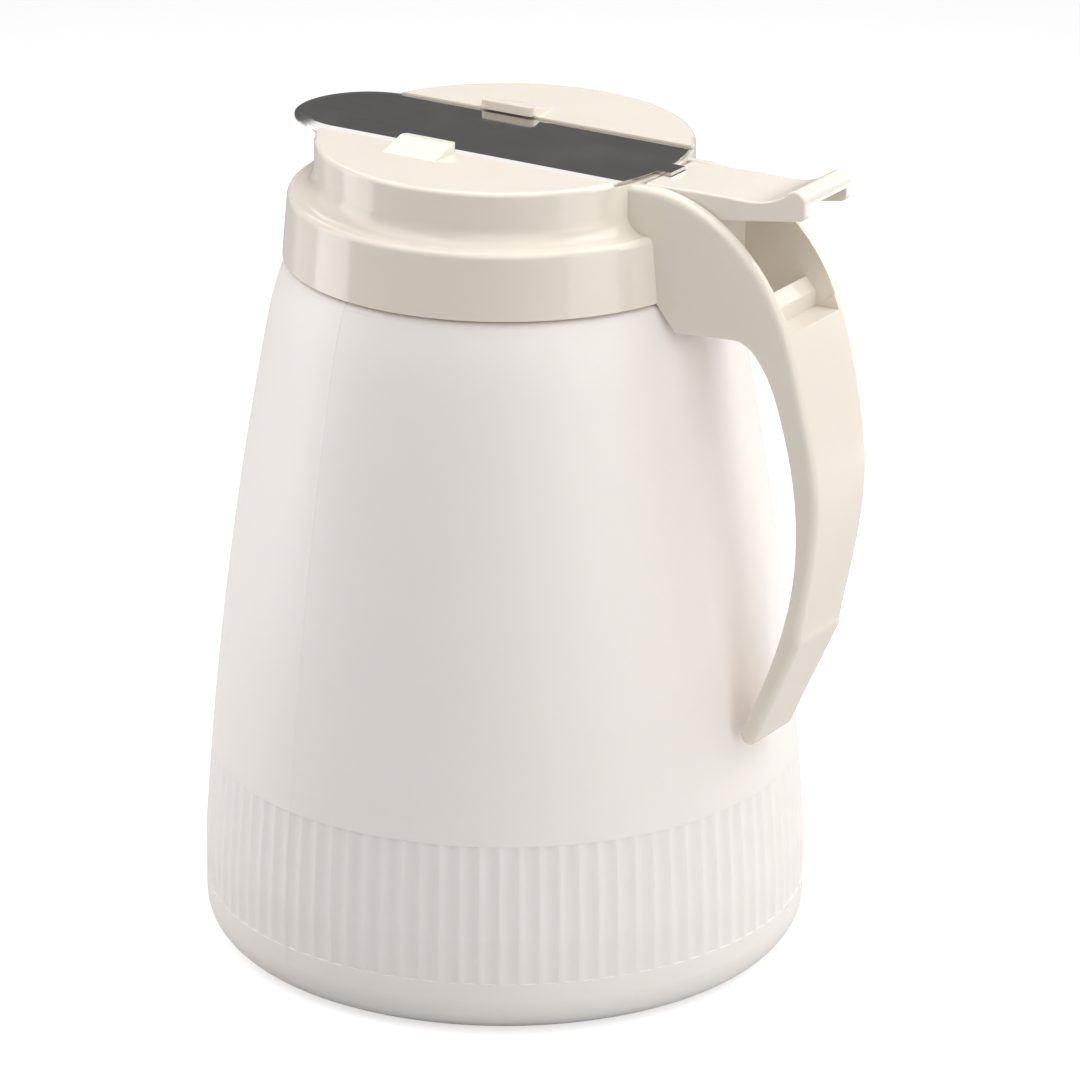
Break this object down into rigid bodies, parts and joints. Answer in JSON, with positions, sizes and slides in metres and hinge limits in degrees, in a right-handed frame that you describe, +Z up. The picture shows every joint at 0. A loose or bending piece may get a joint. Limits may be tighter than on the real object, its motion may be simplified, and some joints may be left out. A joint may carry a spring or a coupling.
{
  "type": "syrup dispenser",
  "caption": "Tapered plastic jug with a fluted foot and a screw cap moulded with its handle and spout; a thumb lever draws a sprung steel slide back from the spout.",
  "frame": {"origin": "centre of the jar's foot, on the surface that it stands on", "axes": "+Z up along the jar's axis, +X towards the handle, spout at -X"},
  "size_m": [0.1476, 0.13, 0.1807],
  "materials": {
    "jar_plastic": "satin, slightly translucent white",
    "cap_plastic": "glossy ivory",
    "gasket_rubber": "matt translucent silicone",
    "blade_steel": "polished stainless steel",
    "lever_plastic": "glossy ivory",
    "spring_steel": "bright drawn wire"
  },
  "bodies": {
    "jar": {"jar": "jar_plastic"},
    "seal": {"neck_gasket": "gasket_rubber"},
    "cap": {"cap": "cap_plastic", "return_spring": "spring_steel"},
    "slider": {"slide_blade": "blade_steel", "thumb_lever": "lever_plastic"}
  },
  "joints": [
    {"name": "cap_lift", "type": "slide", "parent": "jar", "child": "seal", "axis": [0, 0, 1], "range_m": [0, 0.006]},
    {"name": "cap_turn", "type": "hinge", "parent": "seal", "child": "cap", "pos_m": [0, 0, 0.16], "axis": [0, 0, 1], "range_deg": [0, 540]},
    {"name": "lever_slide", "type": "slide", "parent": "cap", "child": "slider", "axis": [1, 0, 0], "range_m": [0, 0.018], "stiffness_N_per_m": 120, "springref_m": -0.008, "deforming": ["return_spring"]}
  ],
  "couplings": [
    {"joint": "cap_turn", "follows": "cap_lift", "rad_per_m": 1570.8}
  ]
}
